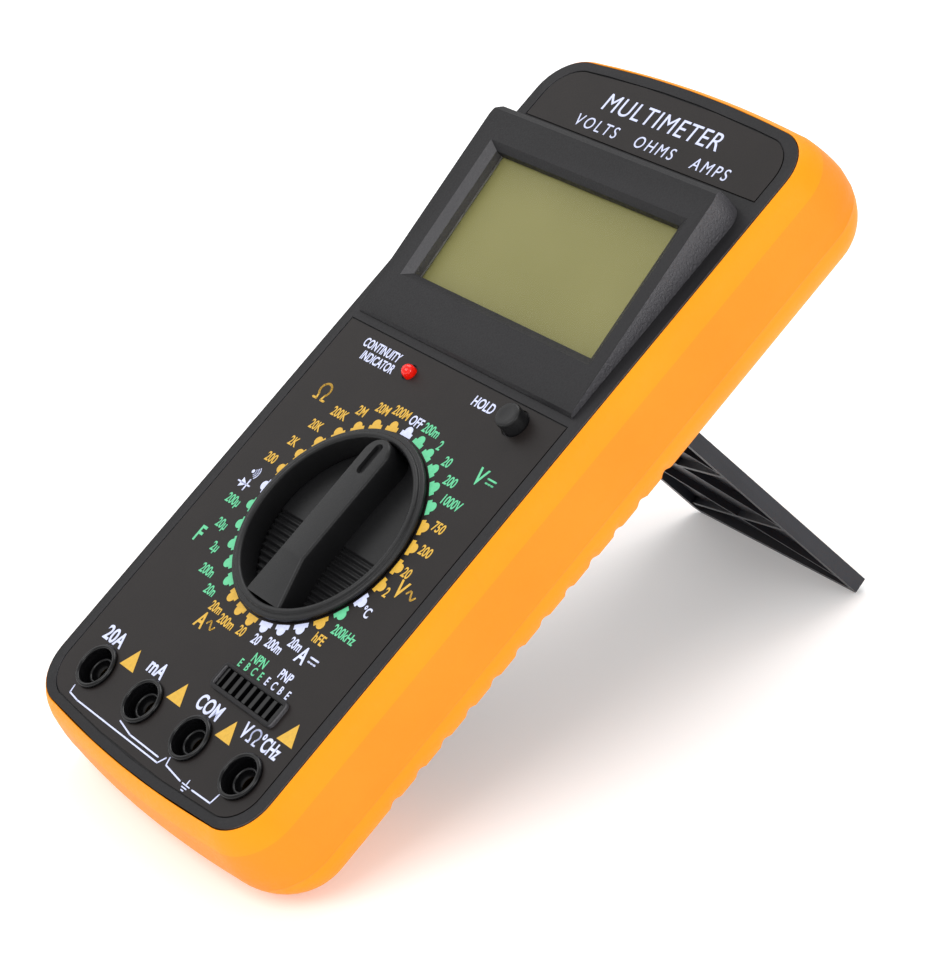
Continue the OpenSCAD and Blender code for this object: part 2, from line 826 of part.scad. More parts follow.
module rib(a, b) {
    d = b - a;
    translate([a[0], a[1], stand_skin_z + 0.5]) rotate(atan2(d[1], d[0]))
        translate([0, -0.5, 0]) cube([norm(d), 1, skin_t + 1.2]);
}

// The stand as it lies folded, with the hinge line at the origin
module folded_stand() {
    half = stand_w / 2;
    cut = 1.5;
    difference() {
        translate([0, 0, stand_skin_z]) linear_extrude(stand_inner_z - stand_skin_z) polygon([
            [-half, 0], [-half, -stand_len + cut], [-half + cut, -stand_len],
            [half - cut, -stand_len], [half, -stand_len + cut], [half, 0]
        ]);
        translate([0, 0, stand_skin_z + skin_t]) linear_extrude(9) polygon([
            [-half + 2, -3.2], [-half + 2, -stand_len + cut + 1], [-half + cut + 1, -stand_len + 2],
            [half - cut - 1, -stand_len + 2], [half - 2, -stand_len + cut + 1], [half - 2, -3.2]
        ]);
        block([-half - 1, -1.2, stand_skin_z - 1], [half + 1, 3, stand_inner_z + 1]);
    }
    translate([-half, 0, 0]) rotate([0, 90, 0]) cylinder(h = stand_w, r = -stand_skin_z);
    for (side = [-1, 1])
        translate([side > 0 ? half - 1 : -half - 3, 0, 0]) rotate([0, 90, 0]) cylinder(h = 4, r = pin_r);
    for (bay = [0 : 2])
        for (side = [-1, 1])
            rib([side * (half - 2), -4 - bay * 24], [-side * (half - 2), -28 - bay * 24]);
}

module kickstand() {
    color([0.15, 0.15, 0.17]) place()
        translate([dial_x, hinge_y, hinge_z]) rotate([stand_swing, 0, 0]) folded_stand();
}

holster();
front_case();
rear_case();
panel_label();
title_label();
display_lens();
display_glass();
display_frame();
contact_strips();
display_board();
main_board();
converter_chip();
transistor_socket();
socket_contacts();
continuity_led();
jack_shrouds();
jack_sleeve_20a();
jack_sleeve_ma();
jack_sleeve_com();
jack_sleeve_v();
current_shunt();
fuse();
fuse_clips();
buzzer();
thermistor();
trimmers();
resistors();
capacitors();
hold_switch();
hold_button();
selector_knob();
switch_rotor();
wiper_contacts();
rotor_clip();
detent_ring();
detent_balls();
detent_springs();
battery();
battery_snap();
battery_leads();
battery_door();
door_screw();
case_screws();
board_screws();
kickstand();
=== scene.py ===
import json
import math

import bmesh
import bpy
from mathutils import Matrix, Vector

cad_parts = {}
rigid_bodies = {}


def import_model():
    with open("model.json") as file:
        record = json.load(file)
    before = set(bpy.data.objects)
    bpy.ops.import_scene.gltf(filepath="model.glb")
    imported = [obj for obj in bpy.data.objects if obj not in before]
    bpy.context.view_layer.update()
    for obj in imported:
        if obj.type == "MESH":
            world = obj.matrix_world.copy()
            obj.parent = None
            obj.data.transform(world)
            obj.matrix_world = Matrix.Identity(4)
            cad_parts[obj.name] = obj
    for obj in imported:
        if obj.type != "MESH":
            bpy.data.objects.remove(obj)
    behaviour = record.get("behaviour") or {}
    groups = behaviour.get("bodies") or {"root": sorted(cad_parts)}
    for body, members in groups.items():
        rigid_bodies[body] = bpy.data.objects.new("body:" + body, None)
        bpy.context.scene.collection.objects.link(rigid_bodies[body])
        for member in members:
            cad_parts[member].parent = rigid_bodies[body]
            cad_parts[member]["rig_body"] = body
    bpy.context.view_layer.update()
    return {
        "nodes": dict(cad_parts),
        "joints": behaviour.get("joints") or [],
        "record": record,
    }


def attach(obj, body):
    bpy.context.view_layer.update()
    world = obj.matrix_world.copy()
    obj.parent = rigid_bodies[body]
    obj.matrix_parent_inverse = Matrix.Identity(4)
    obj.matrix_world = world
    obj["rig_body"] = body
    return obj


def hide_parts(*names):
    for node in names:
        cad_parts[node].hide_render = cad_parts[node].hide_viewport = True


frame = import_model()

# The meter's own frame, in millimetres: x across the face from the case's middle line,
# y up it from the selector, z out of the panel. FACE turns it into the row frame, in metres.
MM = 0.001
DIAL_X = 1.45
joints = {joint["name"]: joint for joint in frame["joints"]}
dial_axis = Vector(joints["selector_turn"]["axis"]).normalized()
row_x = Vector((1, 0, 0))
FACE = (
    Matrix.Translation(Vector(joints["selector_turn"]["pos_m"]))
    @ Matrix((row_x, dial_axis.cross(row_x), dial_axis)).transposed().to_4x4()
    @ Matrix.Scale(MM, 4)
    @ Matrix.Translation((-DIAL_X, 0, 0))
)

# Sizes shared with the CAD, in millimetres
CASE_HALF_W = 41.2
CASE_Y = (-61.4, 116.2)
CASE_R = 10
CASE_BOW = 1.5
CASE_BACK = -22
HOLSTER_BACK = -26.4
HOLSTER_WALL = 4.4
HOLSTER_END = 4.3
RIDGE_Z = -16.5
END_ROUND_Z = -13
SIDE_CHAMFER = 9.5
END_CHAMFER = 12
WINDOW_HALF_W = 34.5
WINDOW_Y = (-27, 68)
DIAL_R = 23.2
DISH_R = 20.6
DISH_Z = -3.5
GRIP_Z = 3.2
JACKS = [(DIAL_X + (i - 1.5) * 19, -50.6) for i in range(4)]
HOLD_AT = (25.5, 36.8)
LED_AT = (-10.8, 36)
HFE_AT = (16.5, -37)
HFE_PITCH = 2.5
POSITIONS = 32

CAMERA_EYE = (466.7, -70.2, 374.0)
CAMERA_TARGET = (25.4, 20.9, 0)
CAMERA_LENS = 116.1
CAMERA_ROLL = -7.43
FLOOR_HALF = 3
CASE_SPECULAR = 0.23


# ---- Camera, floor and light ------------------------------------------------

def add_camera():
    eye = FACE @ Vector(CAMERA_EYE)
    target = FACE @ Vector(CAMERA_TARGET)
    data = bpy.data.cameras.new("camera")
    data.sensor_fit = "HORIZONTAL"
    data.sensor_width = 36
    data.lens = CAMERA_LENS
    data.clip_end = 20
    camera = bpy.data.objects.new("camera", data)
    bpy.context.scene.collection.objects.link(camera)
    look = (target - eye).to_track_quat("-Z", "Y").to_matrix().to_4x4()
    roll = Matrix.Rotation(math.radians(CAMERA_ROLL), 4, "Z")
    camera.matrix_world = Matrix.Translation(eye) @ look @ roll
    bpy.context.scene.camera = camera


def add_light(name, place, aim, size, power):
    data = bpy.data.lights.new(name, "AREA")
    data.shape = "RECTANGLE"
    data.size, data.size_y = size
    data.energy = power
    light = bpy.data.objects.new(name, data)
    bpy.context.scene.collection.objects.link(light)
    place = Vector(place)
    turn = (Vector(aim) - place).to_track_quat("-Z", "Y").to_matrix().to_4x4()
    light.matrix_world = Matrix.Translation(place) @ turn


def add_stage():
    mesh = bpy.data.meshes.new("floor")
    corners = [(FLOOR_HALF * x, FLOOR_HALF * y, 0) for x, y in ((-1, -1), (1, -1), (1, 1), (-1, 1))]
    mesh.from_pydata(corners, [], [(0, 1, 2, 3)])
    floor = bpy.data.objects.new("floor", mesh)
    bpy.context.scene.collection.objects.link(floor)
    paint = Paint("floor")
    paint.set("Base Color", (0.84, 0.84, 0.84, 1))
    paint.set("Emission Color", (1, 1, 1, 1))
    paint.set("Emission Strength", 0.25)
    paint.set("Roughness", 0.9)
    paint.set("Specular IOR Level", 0.1)
    mesh.materials.append(paint.material)
    world = bpy.data.worlds.new("studio")
    world.use_nodes = True
    backdrop = world.node_tree.nodes["Background"]
    backdrop.inputs["Color"].default_value = (1, 1, 1, 1)
    backdrop.inputs["Strength"].default_value = 0.7
    bpy.context.scene.world = world
    bpy.context.scene.view_settings.view_transform = "Standard"
    add_light("key", (0.15, -0.75, 0.95), (0, 0, 0.05), (0.9, 0.7), 7)
    add_light("side", (1.1, 0.1, 0.35), (0, 0, 0.06), (0.6, 0.6), 3.5)
    add_light("top", (-0.3, 0.5, 1.0), (0, 0.03, 0.05), (0.8, 0.6), 5)
    add_light("sheen", (-1.0, -0.27, 0.85), (0, 0, 0.08), (1.0, 1.0), 2.5)


# ---- Materials ----------------------------------------------------------------

class Paint:
    """A node material, built up in steps on one Principled shader."""

    def __init__(self, name):
        self.material = bpy.data.materials.new(name)
        self.material.use_nodes = True
        self.tree = self.material.node_tree
        self.shader = self.tree.nodes["Principled BSDF"]
        self.coords = None
        self.bump_end = None

    def node(self, kind, **values):
        made = self.tree.nodes.new(kind)
        for key, value in values.items():
            if key in made.inputs:
                made.inputs[key].default_value = value
            else:
                setattr(made, key, value)
        return made

    def link(self, a, b):
        self.tree.links.new(a, b)

    def set(self, socket, value):
        self.shader.inputs[socket].default_value = value

    def place(self):
        if self.coords is None:
            self.coords = self.node("ShaderNodeTexCoord").outputs["Object"]
        return self.coords

    def noise(self, size_mm, detail=3.0, rough=0.5, stretch=None):
        """Noise whose blobs are about size_mm across."""
        source = self.place()
        if stretch:
            mapping = self.node("ShaderNodeMapping")
            mapping.inputs["Scale"].default_value = stretch
            self.link(source, mapping.inputs["Vector"])
            source = mapping.outputs["Vector"]
        made = self.node("ShaderNodeTexNoise", Scale=1 / (size_mm * MM), Detail=detail, Roughness=rough)
        self.link(source, made.inputs["Vector"])
        return made.outputs["Fac"]

    def ramp(self, fac, stops):
        """Blends between two colours, each given with its place along fac."""
        made = self.node("ShaderNodeValToRGB")
        for end, (at, colour) in zip(made.color_ramp.elements, stops):
            end.position = at
            end.color = (*colour, 1)
        self.link(fac, made.inputs["Fac"])
        return made.outputs["Color"]

    def remap(self, fac, low, high, from_low=0.3, from_high=0.7):
        """Maps from_low..from_high to low..high; the defaults suit noise."""
        made = self.node("ShaderNodeMapRange")
        made.inputs["From Min"].default_value = from_low
        made.inputs["From Max"].default_value = from_high
        made.inputs["To Min"].default_value = low
        made.inputs["To Max"].default_value = high
        self.link(fac, made.inputs["Value"])
        return made.outputs["Result"]

    def bump(self, height, depth_mm, strength=1.0):
        """Adds relief on top of any bump already made."""
        made = self.node("ShaderNodeBump", Distance=depth_mm * MM, Strength=strength)
        self.link(height, made.inputs["Height"])
        if self.bump_end is not None:
            self.link(self.bump_end, made.inputs["Normal"])
        self.bump_end = made.outputs["Normal"]
        self.link(self.bump_end, self.shader.inputs["Normal"])

    def blend(self, fac, first, second):
        """Mixes a colour socket with a plain colour."""
        mix = self.node("ShaderNodeMix", data_type="RGBA")
        self.link(fac, mix.inputs["Factor"])
        self.link(first, mix.inputs["A"])
        mix.inputs["B"].default_value = (*second, 1)
        return mix.outputs["Result"]

    def worn_edges(self, colour, worn, amount):
        """Lightens the colour where edges stick out."""
        geometry = self.node("ShaderNodeNewGeometry")
        edge = self.remap(geometry.outputs["Pointiness"], 0, amount, 0.52, 0.62)
        return self.blend(edge, colour, worn)


def shade(colour, factor):
    return tuple(min(1, c * factor) for c in colour)


def moulded(name, colour, rough, grain_mm=0.3, grain_depth=0.01, vary=0.12, worn=0.35, specular=0.3):
    """Moulded plastic: spark-eroded grain, uneven tone, lighter on worn edges."""
    paint = Paint(name)
    tone = paint.ramp(paint.noise(14, 4), [(0.3, shade(colour, 1 - vary)), (0.7, shade(colour, 1 + vary))])
    paint.link(paint.worn_edges(tone, shade(colour, 2.2), worn), paint.shader.inputs["Base Color"])
    grain = paint.noise(grain_mm, 2, 0.6)
    paint.link(paint.remap(grain, rough - 0.07, rough + 0.09), paint.shader.inputs["Roughness"])
    paint.bump(grain, grain_depth)
    paint.set("Specular IOR Level", specular)
    return paint


def case_plastic():
    """The case's black plastic; on the walls that face +X, a coarse grain, stronger reflection and a
    painted sheen that lightens the colour.
    """
    paint = moulded("case_plastic", (0.009, 0.0086, 0.0096), 0.5, grain_mm=0.4, grain_depth=0.03,
                    specular=CASE_SPECULAR)
    base = paint.shader.inputs["Base Color"]
    split = paint.node("ShaderNodeSeparateXYZ")
    paint.link(paint.node("ShaderNodeNewGeometry").outputs["Normal"], split.inputs["Vector"])
    sheen_and_grain_walls = paint.remap(split.outputs["X"], 0, 1, 0.3, 0.7)
    # Painted sheen: the walls that face +X are lightened towards a grey.
    paint.link(paint.blend(sheen_and_grain_walls, base.links[0].from_socket, (0.034, 0.032, 0.038)), base)
    paint.link(paint.remap(sheen_and_grain_walls, CASE_SPECULAR, 1, 0, 1), paint.shader.inputs["Specular IOR Level"])
    coarse = paint.node("ShaderNodeMath", operation="MULTIPLY")
    paint.link(paint.noise(0.55, 3, 0.7), coarse.inputs[0])
    paint.link(sheen_and_grain_walls, coarse.inputs[1])
    paint.bump(coarse.outputs["Value"], 0.3)
    return paint


def rubber(name, colour, deep, grain_depth):
    """Holster rubber: saturated colour and a fine leather-like grain."""
    paint = Paint(name)
    tone = paint.ramp(paint.noise(22, 4), [(0.25, deep), (0.75, colour)])
    paint.link(tone, paint.shader.inputs["Base Color"])
    grain = paint.noise(0.75, 3, 0.65)
    paint.link(paint.remap(grain, 0.42, 0.58), paint.shader.inputs["Roughness"])
    paint.bump(grain, grain_depth, 0.7)
    paint.bump(paint.noise(6, 2), 0.05, 0.35)
    paint.set("Specular IOR Level", 0.22)
    paint.set("Subsurface Weight", 0.06)
    paint.set("Subsurface Radius", (0.004, 0.0018, 0.0005))
    return paint


def film(name, colour):
    """Printed polyester film set into the panel."""
    paint = Paint(name)
    tone = paint.ramp(paint.noise(9, 5), [(0.3, shade(colour, 0.9)), (0.7, shade(colour, 1.12))])
    paint.link(tone, paint.shader.inputs["Base Color"])
    grain = paint.noise(0.22, 2)
    paint.link(paint.remap(grain, 0.36, 0.48), paint.shader.inputs["Roughness"])
    paint.bump(grain, 0.006, 0.6)
    paint.set("Specular IOR Level", 0.22)
    return paint


def ink(name, colour):
    """Screen-printed ink, slightly uneven."""
    paint = Paint(name)
    tone = paint.ramp(paint.noise(0.8, 3), [(0.3, shade(colour, 0.9)), (0.7, shade(colour, 1.05))])
    paint.link(tone, paint.shader.inputs["Base Color"])
    paint.link(paint.remap(paint.noise(0.3), 0.4, 0.6), paint.shader.inputs["Roughness"])
    return paint


def metal(name, colour):
    """Plated or drawn metal with fine drawing marks."""
    paint = Paint(name)
    tone = paint.ramp(paint.noise(2.5, 4), [(0.3, shade(colour, 0.85)), (0.7, colour)])
    paint.link(tone, paint.shader.inputs["Base Color"])
    marks = paint.noise(0.2, 3, 0.6, (1, 8, 1))
    paint.link(paint.remap(marks, 0.2, 0.38), paint.shader.inputs["Roughness"])
    paint.bump(marks, 0.004, 0.5)
    paint.set("Metallic", 1)
    return paint


def glossy(name, colour, rough, specular=0.5):
    """Glossy moulded or coated surface."""
    paint = Paint(name)
    tone = paint.ramp(paint.noise(5, 3), [(0.3, shade(colour, 0.85)), (0.7, shade(colour, 1.15))])
    paint.link(tone, paint.shader.inputs["Base Color"])
    uneven = paint.remap(paint.noise(1.2, 3), rough - 0.04, rough + 0.06)
    paint.link(uneven, paint.shader.inputs["Roughness"])
    paint.bump(paint.noise(1.5, 2), 0.01, 0.4)
    paint.set("Specular IOR Level", specular)
    return paint


def liquid_crystal():
    """Unlit liquid-crystal glass over its pale olive reflector."""
    paint = Paint("lcd_glass")
    tone = paint.ramp(paint.noise(30, 2), [(0.3, (0.235, 0.222, 0.078)), (0.7, (0.262, 0.247, 0.092))])
    paint.link(tone, paint.shader.inputs["Base Color"])
    paint.link(paint.remap(paint.noise(2, 2), 0.4, 0.5), paint.shader.inputs["Roughness"])
    paint.set("Specular IOR Level", 0.15)
    return paint


def clear_window():
    """Clear acrylic: almost invisible but for its reflections."""
    paint = Paint("clear_window")
    haze = paint.noise(4, 4)
    paint.link(paint.remap(haze, 0.14, 0.22), paint.shader.inputs["Roughness"])
    tone = paint.ramp(haze, [(0.3, (0.04, 0.042, 0.04)), (0.7, (0.06, 0.062, 0.06))])
    paint.link(tone, paint.shader.inputs["Base Color"])
    paint.set("Alpha", 0.06)
    return paint


def lamp_red():
    """Red lamp body with a faint glow."""
    paint = Paint("lamp_red")
    tone = paint.ramp(paint.noise(0.8, 2), [(0.3, (0.55, 0.004, 0.002)), (0.7, (0.8, 0.012, 0.006))])
    paint.link(tone, paint.shader.inputs["Base Color"])
    paint.link(paint.remap(paint.noise(0.6), 0.06, 0.12), paint.shader.inputs["Roughness"])
    paint.set("Emission Color", (0.9, 0.01, 0.0, 1))
    paint.set("Emission Strength", 0.25)
    return paint


def circuit_board():
    """Green solder mask over copper tracks."""
    paint = Paint("circuit_board")
    brick = paint.node("ShaderNodeTexBrick", Scale=120, offset=0.37)
    brick.inputs["Mortar Size"].default_value = 0.12
    brick.inputs["Color1"].default_value = (0.01, 0.13, 0.055, 1)
    brick.inputs["Color2"].default_value = (0.012, 0.16, 0.065, 1)
    brick.inputs["Mortar"].default_value = (0.05, 0.3, 0.12, 1)
    paint.link(paint.place(), brick.inputs["Vector"])
    paint.link(brick.outputs["Color"], paint.shader.inputs["Base Color"])
    paint.link(paint.remap(paint.noise(2), 0.25, 0.4), paint.shader.inputs["Roughness"])
    paint.bump(brick.outputs["Fac"], 0.03, 0.6)
    return paint


def make_palette():
    """Every material, by the slot or the part of a slot that it paints."""
    return {
        "holster": rubber("holster_rubber", (0.93, 0.272, 0.011), (0.9, 0.245, 0.007), 0.05),
        "holster_lip": rubber("holster_lip", (0.95, 0.305, 0.002), (0.93, 0.28, 0.001), 0.01),
        "case": case_plastic(),
        "label": film("label_film", (0.0095, 0.007, 0.0065)),
        "lens": clear_window(),
        "lcd": liquid_crystal(),
        "white_plastic": moulded("white_plastic", (0.72, 0.7, 0.64), 0.4),
        "zebra": glossy("zebra_rubber", (0.75, 0.45, 0.5), 0.5),
        "board": circuit_board(),
        "black_gloss": glossy("black_gloss", (0.004, 0.004, 0.0045), 0.18, specular=0.28),
        "led_red": lamp_red(),
        # Brass painted much darker than bright brass: painted shade for the sleeves deep in the socket
        # bores.
        "brass": metal("brass", (0.28, 0.19, 0.08)),
        "copper": metal("copper", (0.75, 0.36, 0.2)),
        "fuse_glass": glossy("fuse_glass", (0.65, 0.7, 0.7), 0.08),
        "steel": metal("plated_steel", (0.62, 0.62, 0.64)),
        "part_orange": glossy("coated_orange", (0.75, 0.2, 0.03), 0.25),
        "part_blue": moulded("trimmer_blue", (0.02, 0.07, 0.42), 0.35),
        "part_tan": glossy("coated_tan", (0.55, 0.38, 0.2), 0.3),
        "part_red": glossy("coated_red", (0.42, 0.03, 0.02), 0.25),
        "knob": moulded("knob_plastic", (0.006, 0.006, 0.0066), 0.42, grain_depth=0.02, vary=0.1,
                        worn=0.25, specular=0.33),
        # The dish floor: smoother and finer-grained than the knob, and a little darker as painted shade in
        # the recess.
        "recess": moulded("knob_dish_painted_shade", (0.005, 0.005, 0.0055), 0.38, vary=0.1, worn=0.2, specular=0.32),
        "rotor": moulded("rotor_plastic", (0.75, 0.7, 0.55), 0.45),
        "battery_wrap": glossy("battery_wrap", (0.06, 0.09, 0.13), 0.3),
        "lead_red": glossy("lead_insulation", (0.5, 0.01, 0.01), 0.35),
        "stand_black": moulded("stand_plastic", (0.016, 0.017, 0.022), 0.4, grain_depth=0.02),
        "ink_white": ink("ink_white", (0.60, 0.64, 0.86)),
        "ink_gold": ink("ink_gold", (0.62, 0.36, 0.03)),
        "ink_green": ink("ink_green", (0.10, 0.52, 0.26)),
    }


# ---- Mesh helpers ----------------------------------------------------------------

def link_piece(name, mesh, paint, body, stands_for=()):
    """Adds a visible piece on a body, in place of the CAD nodes that it stands for."""
    piece = bpy.data.objects.new(name, mesh)
    bpy.context.scene.collection.objects.link(piece)
    mesh.materials.clear()
    mesh.materials.append(paint.material)
    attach(piece, body)
    if stands_for:
        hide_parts(*stands_for)
    return piece


def face_mesh(name, points, faces, smooth=True):
    """Mesh from points in the meter's frame."""
    mesh = bpy.data.meshes.new(name)
    mesh.from_pydata([FACE @ Vector(p) for p in points], [], faces)
    work = bmesh.new()
    work.from_mesh(mesh)
    bmesh.ops.recalc_face_normals(work, faces=work.faces)
    work.to_mesh(mesh)
    work.free()
    for polygon in mesh.polygons:
        polygon.use_smooth = smooth
    return mesh


def bridge(rings, closed=True, first_cap=False, last_cap=False):
    """Points and faces through rings of equal length."""
    count = len(rings[0])
    points = [p for ring in rings for p in ring]
    faces = []
    for j in range(len(rings) - 1):
        for i in range(count if closed else count - 1):
            k = (i + 1) % count
            faces.append((j * count + i, j * count + k, (j + 1) * count + k, (j + 1) * count + i))
    if first_cap:
        faces.append(tuple(range(count)))
    if last_cap:
        faces.append(tuple(range((len(rings) - 1) * count, len(rings) * count)))
    return points, faces


def lathe(profile, at, steps=72, cap_last=True, cap_first=False):
    """Points and faces of a turned shape: profile is (radius, height) pairs."""
    turns = [(math.cos(2 * math.pi * i / steps), math.sin(2 * math.pi * i / steps)) for i in range(steps)]
    rings = [[(at[0] + r * c, at[1] + r * s, z) for c, s in turns] for r, z in profile]
    return bridge(rings, first_cap=cap_first, last_cap=cap_last)


def merge(parts):
    """Joins (points, faces) pairs into one."""
    points, faces = [], []
    for part_points, part_faces in parts:
        base = len(points)
        points += part_points
        faces += [tuple(base + i for i in face) for face in part_faces]
    return points, faces


def apply_modifiers(piece):
    """Replaces a piece's mesh by the result of its modifiers."""
    bpy.context.view_layer.update()
    graph = bpy.context.evaluated_depsgraph_get()
    made = bpy.data.meshes.new_from_object(piece.evaluated_get(graph))
    piece.modifiers.clear()
    piece.data = made


def softened(node, width_mm, paint):
    """Adds a copy of a CAD node with its sharp edges rounded, which then stands for it."""
    source = frame["nodes"][node]
    mesh = source.data.copy()
    work = bmesh.new()
    work.from_mesh(mesh)
    bmesh.ops.remove_doubles(work, verts=work.verts, dist=1e-6)
    bmesh.ops.dissolve_limit(work, angle_limit=math.radians(2), verts=work.verts, edges=work.edges)
    for face in work.faces:
        face.smooth = True
    for edge in work.edges:
        edge.smooth = True
    work.to_mesh(mesh)
    work.free()
    piece = bpy.data.objects.new(node + "_rounded", mesh)
    bpy.context.scene.collection.objects.link(piece)
    bevel = piece.modifiers.new("bevel", "BEVEL")
    bevel.width = width_mm * MM
    bevel.segments = 2
    bevel.limit_method = "ANGLE"
    bevel.angle_limit = math.radians(32)
    bevel.use_clamp_overlap = True
    normals = piece.modifiers.new("normals", "WEIGHTED_NORMAL")
    normals.keep_sharp = False
    normals.weight = 80
    apply_modifiers(piece)
    piece.data.materials.clear()
    piece.data.materials.append(paint.material)
    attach(piece, source["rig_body"])
    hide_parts(node)


# ---- Holster -----------------------------------------------------------------------

def plate_outline(half_w, y_range, r, bow, arc=12, end=14, side=320):
    """Closed outline of a long plate with round corners and bowed short ends."""
    y0, y1 = y_range
    flat = half_w - r
    points = []

    def arc_points(cx, cy, start):
        for i in range(arc):
            a = math.radians(start + 90 * i / arc)
            points.append((cx + r * math.cos(a), cy + r * math.sin(a)))

    def end_points(y, sign, out):
        for i in range(end):
            x = sign * flat * (1 - 2 * i / end)
            points.append((x, y + out * bow * (1 - (x / flat) ** 2)))

    arc_points(flat, y1 - r, 0)
    end_points(y1, 1, 1)
    arc_points(-flat, y1 - r, 90)
    for i in range(side):
        points.append((-half_w, y1 - r - (y1 - y0 - 2 * r) * i / side))
    arc_points(-flat, y0 + r, 180)
    end_points(y0, -1, -1)
    arc_points(flat, y0 + r, 270)
    for i in range(side):
        points.append((half_w, y0 + r + (y1 - y0 - 2 * r) * i / side))
    return points


def case_ring(grow, z):
    """The case's outline, grown outward, at a height."""
    outline = plate_outline(
        CASE_HALF_W + grow, (CASE_Y[0] - grow, CASE_Y[1] + grow), CASE_R + grow, CASE_BOW)
    return [(x, y, z) for x, y in outline]


# Finger grips along both sides: where each is centred, half its length and its depth
GRIP_NOTCHES = [-35 + 7.65 * k for k in range(12)]
NOTCH_HALF = 1.5
NOTCH_DEPTH = 0.55


def notch(y):
    """How deep the finger grip is cut at this place along the side, 0 to 1."""
    near = min(abs(y - centre) for centre in GRIP_NOTCHES)
    return max(0.0, 1 - (near / NOTCH_HALF) ** 2)


def end_wall(z):
    """How far the holster's ends stand out beyond the case at a height."""
    if z > END_ROUND_Z:
        return HOLSTER_END
    down = (z - END_ROUND_Z) / (END_ROUND_Z - HOLSTER_BACK)
    return HOLSTER_END - END_CHAMFER * (1 - math.sqrt(max(0, 1 - down ** 2)))


def holster_ring(z, side, end, grip=0.0):
    """Outline of the holster that far beyond the case's sides and ends, with finger grips cut in."""
    half_w = CASE_HALF_W + side
    outline = plate_outline(
        half_w, (CASE_Y[0] - end, CASE_Y[1] + end), max(CASE_R + min(side, end), 3), CASE_BOW)
    ring = []
    for x, y in outline:
        # The cut runs at 45 degrees, inward and up
        cut = 0.7 * grip * NOTCH_DEPTH * notch(y) if abs(x) > half_w - 0.01 else 0
        ring.append((x - math.copysign(cut, x), y, z + cut))
    return ring


# The holster's lip, as (height, how far beyond the case)
LIP = [
    (-0.28, 0.2), (-0.25, 0.3), (-0.36, 0.42), (-0.8, 0.75), (-1.3, 1.12), (-1.9, 1.5), (-2.6, 1.88),
    (-3.4, 2.22), (-4.4, 2.62), (-5.5, 2.92), (-6.7, 3.22), (-8, 3.48), (-9.5, 3.8), (-11, 4.03),
    (-12, 4.18)]
# The ridge where side and chamfer meet, as (height from the ridge, how far beyond the case)
RIDGE = [(0.5, 4.38), (0.2, 4.46), (0, 4.5), (-0.15, 4.44), (-0.4, 4.34)]


def holster_rings():
    """Outlines round the holster's wall: pocket, lip, side, ridge, chamfer, back, window."""
    floor_z = CASE_BACK - 0.1
    rings = [case_ring(0.15, floor_z), case_ring(0.15, -8), case_ring(0.15, -0.4)]
    rings += [holster_ring(z, out, min(out, HOLSTER_END)) for z, out in LIP]
    rings += [holster_ring(-13, 4.3, HOLSTER_END), holster_ring(-14.5, 4.36, end_wall(-14.5))]
    for z, out in RIDGE:
        rings.append(holster_ring(RIDGE_Z + z, out, end_wall(RIDGE_Z + z)))
    drop = RIDGE_Z - HOLSTER_BACK
    for t in range(8, 91, 6):
        a = math.radians(t)
        z = RIDGE_Z - drop * math.sin(a)
        grip = max(0, math.sin(math.radians(min(180, (t - 20) * 3.2))))
        side = HOLSTER_WALL - SIDE_CHAMFER * (1 - math.cos(a))
        rings.append(holster_ring(z, side, end_wall(z), grip))
    for grow, z in ((0.9, HOLSTER_BACK), (0.3, HOLSTER_BACK + 0.25), (0, HOLSTER_BACK + 0.8), (0, floor_z)):
        y_range = (WINDOW_Y[0] - grow, WINDOW_Y[1] + grow)
        outline = plate_outline(WINDOW_HALF_W + grow, y_range, 2.5 + grow, 0)
        rings.append([(x, y, z) for x, y in outline])
    return rings


# The holster's rings from the first number up to the second are grained; the others are smooth
SIDE_RINGS = (12, 24)


def add_holster(grained, smooth):
    rings = holster_rings()
    points, faces = bridge(rings)
    count = len(rings[0])
    last = (len(rings) - 1) * count
    faces += [(last + i, last + (i + 1) % count, (i + 1) % count, i) for i in range(count)]
    mesh = face_mesh("holster_shell", points, faces)
    link_piece("holster_shell", mesh, grained, "meter", ("holster",))
    mesh.materials.append(smooth.material)
    for index, polygon in enumerate(mesh.polygons):
        ring = index // count
        on_side = SIDE_RINGS[0] <= ring < SIDE_RINGS[1]
        polygon.material_index = 0 if on_side else 1


# ---- Selector -------------------------------------------------------------------------

def at_dial(points, faces):
    """Moves a shape drawn about the selector's axis to its place."""
    return [(x + DIAL_X, y, z) for x, y, z in points], faces


def dish_height(x, y):
    """Floor of the dish: gently crowned, with finger ribs below the middle."""
    crown, rib_start, rib_height, rib_pitch, edge = 0.7, -1.3, 0.28, 1.42, 0.7
    radius = math.hypot(x, y)
    z = DISH_Z + crown * (1 - (radius / DISH_R) ** 2)
    if y < rib_start:
        fade = min(1, (rib_start - y) / 0.5)
        z += rib_height * fade * (math.cos(2 * math.pi * (y - rib_start) / rib_pitch) - 1)
    if radius > DISH_R - edge:
        z -= 0.5 * (radius - DISH_R + edge) / edge
    return z


def dish_floor():
    """The dish's floor as rows across it, bottom to top."""
    rows, columns = 240, 40
    rings = []
    for j in range(rows + 1):
        angle = math.pi * (j / rows) - math.pi / 2
        y = DISH_R * math.sin(angle) if j in (0, rows) else -DISH_R + 2 * DISH_R * j / rows
        half = math.sqrt(max(0.01, DISH_R ** 2 - y * y))
        ring = []
        for i in range(columns + 1):
            x = half * math.sin(math.pi / 2 * (2 * i / columns - 1))
            ring.append((x, y, dish_height(x, y)))
        rings.append(ring)
    return bridge(rings, closed=False)


